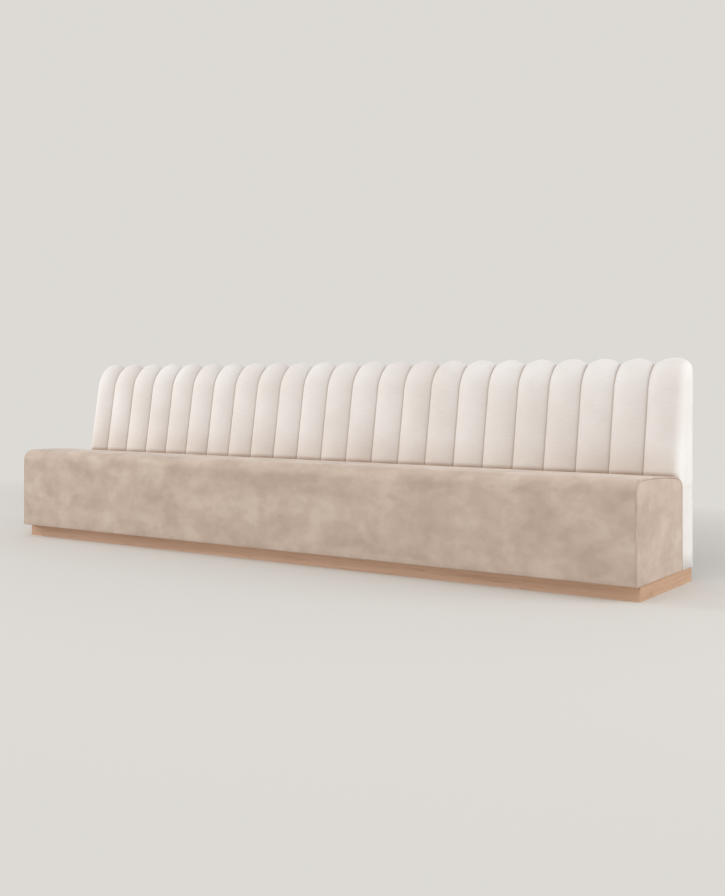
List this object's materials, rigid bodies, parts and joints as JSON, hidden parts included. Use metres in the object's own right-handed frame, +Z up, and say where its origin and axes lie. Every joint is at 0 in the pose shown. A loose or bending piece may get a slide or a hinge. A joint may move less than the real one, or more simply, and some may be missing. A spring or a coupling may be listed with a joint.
{
  "type": "restaurant booth seating",
  "caption": "Long straight upholstered bench with a fluted raked back, a flat-fronted sprung seat and a recessed wood plinth with levelling feet.",
  "frame": {"origin": "on the floor under the middle of the overall box", "axes": "+X along the bench to the sitter's left, seen from the front to the right; +Y from the front to the rear face; +Z up"},
  "size_m": [3.4, 0.612, 0.914],
  "materials": {
    "plinth_wood": "light brown stained ash veneer, satin",
    "frame_wood": "planed softwood, unfinished",
    "plywood": "birch plywood, unfinished",
    "zinc_steel": "zinc plated steel",
    "spring_steel": "oiled spring steel",
    "foot_plastic": "black nylon",
    "felt": "grey needled felt",
    "foam": "upholstery foam",
    "taupe_cloth": "mottled suede-like cloth, matt",
    "cream_cloth": "smooth cream upholstery, soft sheen"
  },
  "bodies": {
    "bench": {"plinth_front_board": "plinth_wood", "plinth_left_board": "plinth_wood", "plinth_right_board": "plinth_wood", "plinth_rear_board": "plinth_wood", "plinth_cross_members": "frame_wood", "leveller_blocks": "frame_wood", "seat_ribs": "frame_wood", "seat_top_front_rail": "frame_wood", "seat_top_rear_rail": "frame_wood", "back_bottom_rail": "frame_wood", "back_mid_rail": "frame_wood", "back_ledge_rail": "frame_wood", "back_bolt_rail": "frame_wood", "back_posts": "frame_wood", "back_top_rail": "frame_wood", "seat_base_board": "plywood", "seat_front_panel": "plywood", "seat_rear_panel": "plywood", "seat_left_end_panel": "plywood", "seat_right_end_panel": "plywood", "back_base_board": "plywood", "back_left_end_panel": "plywood", "back_right_end_panel": "plywood", "back_face_board": "plywood", "back_rear_panel": "plywood", "plinth_screws": "zinc_steel", "leveller_tee_nuts": "zinc_steel", "spring_clips": "zinc_steel", "back_bolts": "zinc_steel", "back_bolt_nuts": "zinc_steel", "seat_springs": "spring_steel", "seat_felt": "felt", "seat_foam": "foam", "seat_front_foam": "foam", "seat_left_end_foam": "foam", "seat_right_end_foam": "foam", "back_channel_foams": "foam", "back_left_end_foam": "foam", "back_right_end_foam": "foam", "seat_cover": "taupe_cloth", "seat_left_end_cover": "taupe_cloth", "seat_right_end_cover": "taupe_cloth", "seat_left_welt": "taupe_cloth", "seat_right_welt": "taupe_cloth", "back_cover": "cream_cloth", "back_left_end_cover": "cream_cloth", "back_right_end_cover": "cream_cloth", "back_rear_cover": "cream_cloth"},
    "foot_1": {"leveller_pad_1": "foot_plastic"},
    "stud_1": {"leveller_stud_1": "zinc_steel"},
    "foot_2": {"leveller_pad_2": "foot_plastic"},
    "stud_2": {"leveller_stud_2": "zinc_steel"},
    "foot_3": {"leveller_pad_3": "foot_plastic"},
    "stud_3": {"leveller_stud_3": "zinc_steel"},
    "foot_4": {"leveller_pad_4": "foot_plastic"},
    "stud_4": {"leveller_stud_4": "zinc_steel"},
    "foot_5": {"leveller_pad_5": "foot_plastic"},
    "stud_5": {"leveller_stud_5": "zinc_steel"},
    "foot_6": {"leveller_pad_6": "foot_plastic"},
    "stud_6": {"leveller_stud_6": "zinc_steel"}
  },
  "joints": [
    {"name": "foot_1_travel", "type": "slide", "parent": "bench", "child": "foot_1", "axis": [0, 0, -1], "range_m": [0, 0.015]},
    {"name": "stud_1_turn", "type": "hinge", "parent": "foot_1", "child": "stud_1", "pos_m": [-1.641, -0.205, 0], "axis": [0, 0, 1], "range_deg": [-5, 3605]},
    {"name": "foot_2_travel", "type": "slide", "parent": "bench", "child": "foot_2", "axis": [0, 0, -1], "range_m": [0, 0.015]},
    {"name": "stud_2_turn", "type": "hinge", "parent": "foot_2", "child": "stud_2", "pos_m": [0, -0.205, 0], "axis": [0, 0, 1], "range_deg": [-5, 3605]},
    {"name": "foot_3_travel", "type": "slide", "parent": "bench", "child": "foot_3", "axis": [0, 0, -1], "range_m": [0, 0.015]},
    {"name": "stud_3_turn", "type": "hinge", "parent": "foot_3", "child": "stud_3", "pos_m": [1.641, -0.205, 0], "axis": [0, 0, 1], "range_deg": [-5, 3605]},
    {"name": "foot_4_travel", "type": "slide", "parent": "bench", "child": "foot_4", "axis": [0, 0, -1], "range_m": [0, 0.015]},
    {"name": "stud_4_turn", "type": "hinge", "parent": "foot_4", "child": "stud_4", "pos_m": [-1.641, 0.253, 0], "axis": [0, 0, 1], "range_deg": [-5, 3605]},
    {"name": "foot_5_travel", "type": "slide", "parent": "bench", "child": "foot_5", "axis": [0, 0, -1], "range_m": [0, 0.015]},
    {"name": "stud_5_turn", "type": "hinge", "parent": "foot_5", "child": "stud_5", "pos_m": [0, 0.253, 0], "axis": [0, 0, 1], "range_deg": [-5, 3605]},
    {"name": "foot_6_travel", "type": "slide", "parent": "bench", "child": "foot_6", "axis": [0, 0, -1], "range_m": [0, 0.015]},
    {"name": "stud_6_turn", "type": "hinge", "parent": "foot_6", "child": "stud_6", "pos_m": [1.641, 0.253, 0], "axis": [0, 0, 1], "range_deg": [-5, 3605]}
  ],
  "couplings": [
    {"joint": "stud_1_turn", "follows": "foot_1_travel", "rad_per_m": 4188.8},
    {"joint": "stud_2_turn", "follows": "foot_2_travel", "rad_per_m": 4188.8},
    {"joint": "stud_3_turn", "follows": "foot_3_travel", "rad_per_m": 4188.8},
    {"joint": "stud_4_turn", "follows": "foot_4_travel", "rad_per_m": 4188.8},
    {"joint": "stud_5_turn", "follows": "foot_5_travel", "rad_per_m": 4188.8},
    {"joint": "stud_6_turn", "follows": "foot_6_travel", "rad_per_m": 4188.8}
  ]
}
